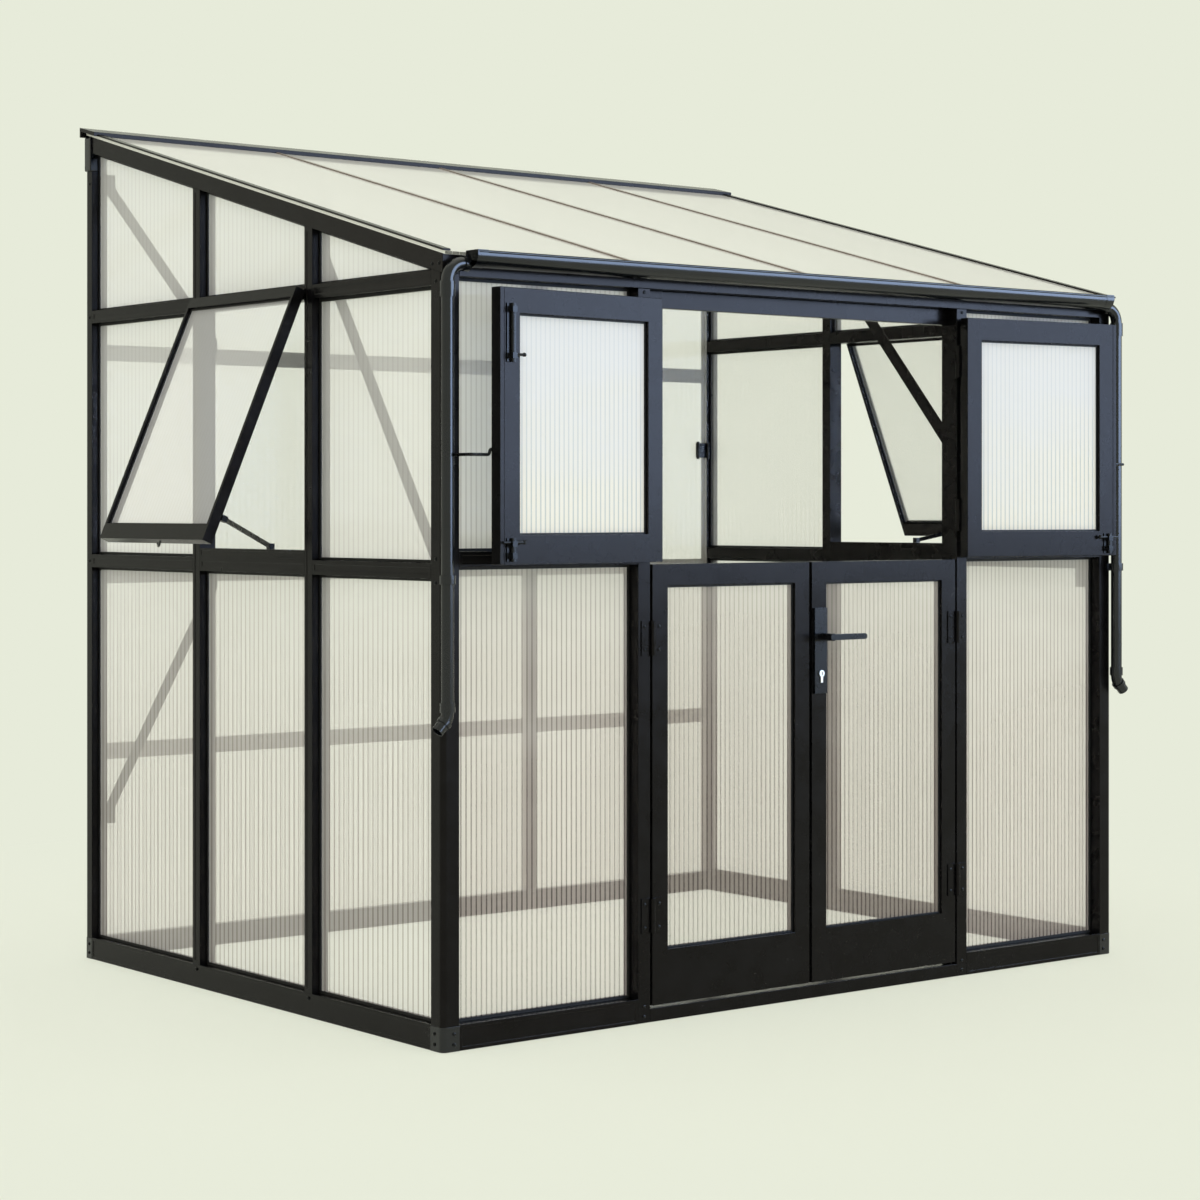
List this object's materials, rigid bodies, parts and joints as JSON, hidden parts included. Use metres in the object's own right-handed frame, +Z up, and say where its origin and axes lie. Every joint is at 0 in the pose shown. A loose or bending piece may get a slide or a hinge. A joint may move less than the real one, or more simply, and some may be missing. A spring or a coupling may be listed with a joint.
{
  "type": "lean-to greenhouse with twin-wall sheets and double stable doors",
  "caption": "Lean-to greenhouse: black aluminium frame with clear twin-wall sheets, double stable doors, top-hung side windows, sloping roof, front gutter and downpipes.",
  "frame": {"origin": "on the ground, in the middle of the area that the greenhouse covers with its windows and upper doors open", "axes": "+X to the right along the front, +Y from the front to the back wall, +Z up"},
  "size_m": [3.056, 1.946, 2.4462],
  "materials": {
    "black_frame": "black powder-coated aluminium, satin",
    "twin_wall_sheet": "clear twin-wall polycarbonate with upright ribs",
    "black_plastic": "black moulded plastic, slightly glossy",
    "black_hardware": "black painted steel, satin",
    "bright_steel": "satin nickel"
  },
  "bodies": {
    "building": {"front_base_rails": "black_frame", "door_threshold": "black_frame", "side_base_rails": "black_frame", "back_base_rail": "black_frame", "front_posts": "black_frame", "back_posts": "black_frame", "door_jambs": "black_frame", "front_mid_rails": "black_frame", "eaves_beam": "black_frame", "door_header": "black_frame", "left_wall_mullions": "black_frame", "right_wall_mullions": "black_frame", "left_wall_rails": "black_frame", "right_wall_rails": "black_frame", "gable_rafters": "black_frame", "roof_bars": "black_frame", "roof_edge_trims": "black_frame", "ridge_beam": "black_frame", "ridge_flashing": "black_frame", "back_wall_mullions": "black_frame", "back_wall_rails": "black_frame", "wind_braces": "black_frame", "knee_braces": "black_frame", "left_window_sash": "black_frame", "right_window_sash": "black_frame", "window_sills": "black_frame", "upper_left_door_frame": "black_frame", "upper_right_door_frame": "black_frame", "front_wall_panels": "twin_wall_sheet", "left_wall_panels": "twin_wall_sheet", "right_wall_panels": "twin_wall_sheet", "back_wall_panels": "twin_wall_sheet", "roof_panels": "twin_wall_sheet", "window_panes": "twin_wall_sheet", "upper_door_panels": "twin_wall_sheet", "gutter": "black_plastic", "left_downpipe": "black_plastic", "right_downpipe": "black_plastic", "pipe_clips": "black_plastic", "back_post_caps": "black_plastic", "upper_door_hinges": "black_hardware", "door_bolts": "black_hardware", "door_hooks": "black_hardware", "jamb_hinges": "black_hardware", "window_stays": "black_hardware"},
    "lower_left_door": {"lower_left_door_frame": "black_frame", "lower_left_door_panel": "twin_wall_sheet", "lower_left_hinges": "black_hardware"},
    "lower_right_door": {"lower_right_door_frame": "black_frame", "lower_right_door_panel": "twin_wall_sheet", "lower_right_hinges": "black_hardware", "lock_plates": "black_hardware", "lock_cylinder": "bright_steel"},
    "lever": {"lever_handle": "black_hardware"}
  },
  "joints": [
    {"name": "lower_left_door_hinge", "type": "hinge", "parent": "building", "child": "lower_left_door", "pos_m": [-0.5585, -0.86195, 0.6], "axis": [0, 0, -1], "range_deg": [0, 170]},
    {"name": "lower_right_door_hinge", "type": "hinge", "parent": "building", "child": "lower_right_door", "pos_m": [0.5585, -0.86195, 0.6], "axis": [0, 0, 1], "range_deg": [0, 170]},
    {"name": "lever_turn", "type": "hinge", "parent": "lower_right_door", "child": "lever", "pos_m": [0.031, -0.85495, 0.977], "axis": [0, 1, 0], "range_deg": [0, 40], "stiffness_Nm_per_rad": 1.2, "springref_deg": -34.38}
  ]
}
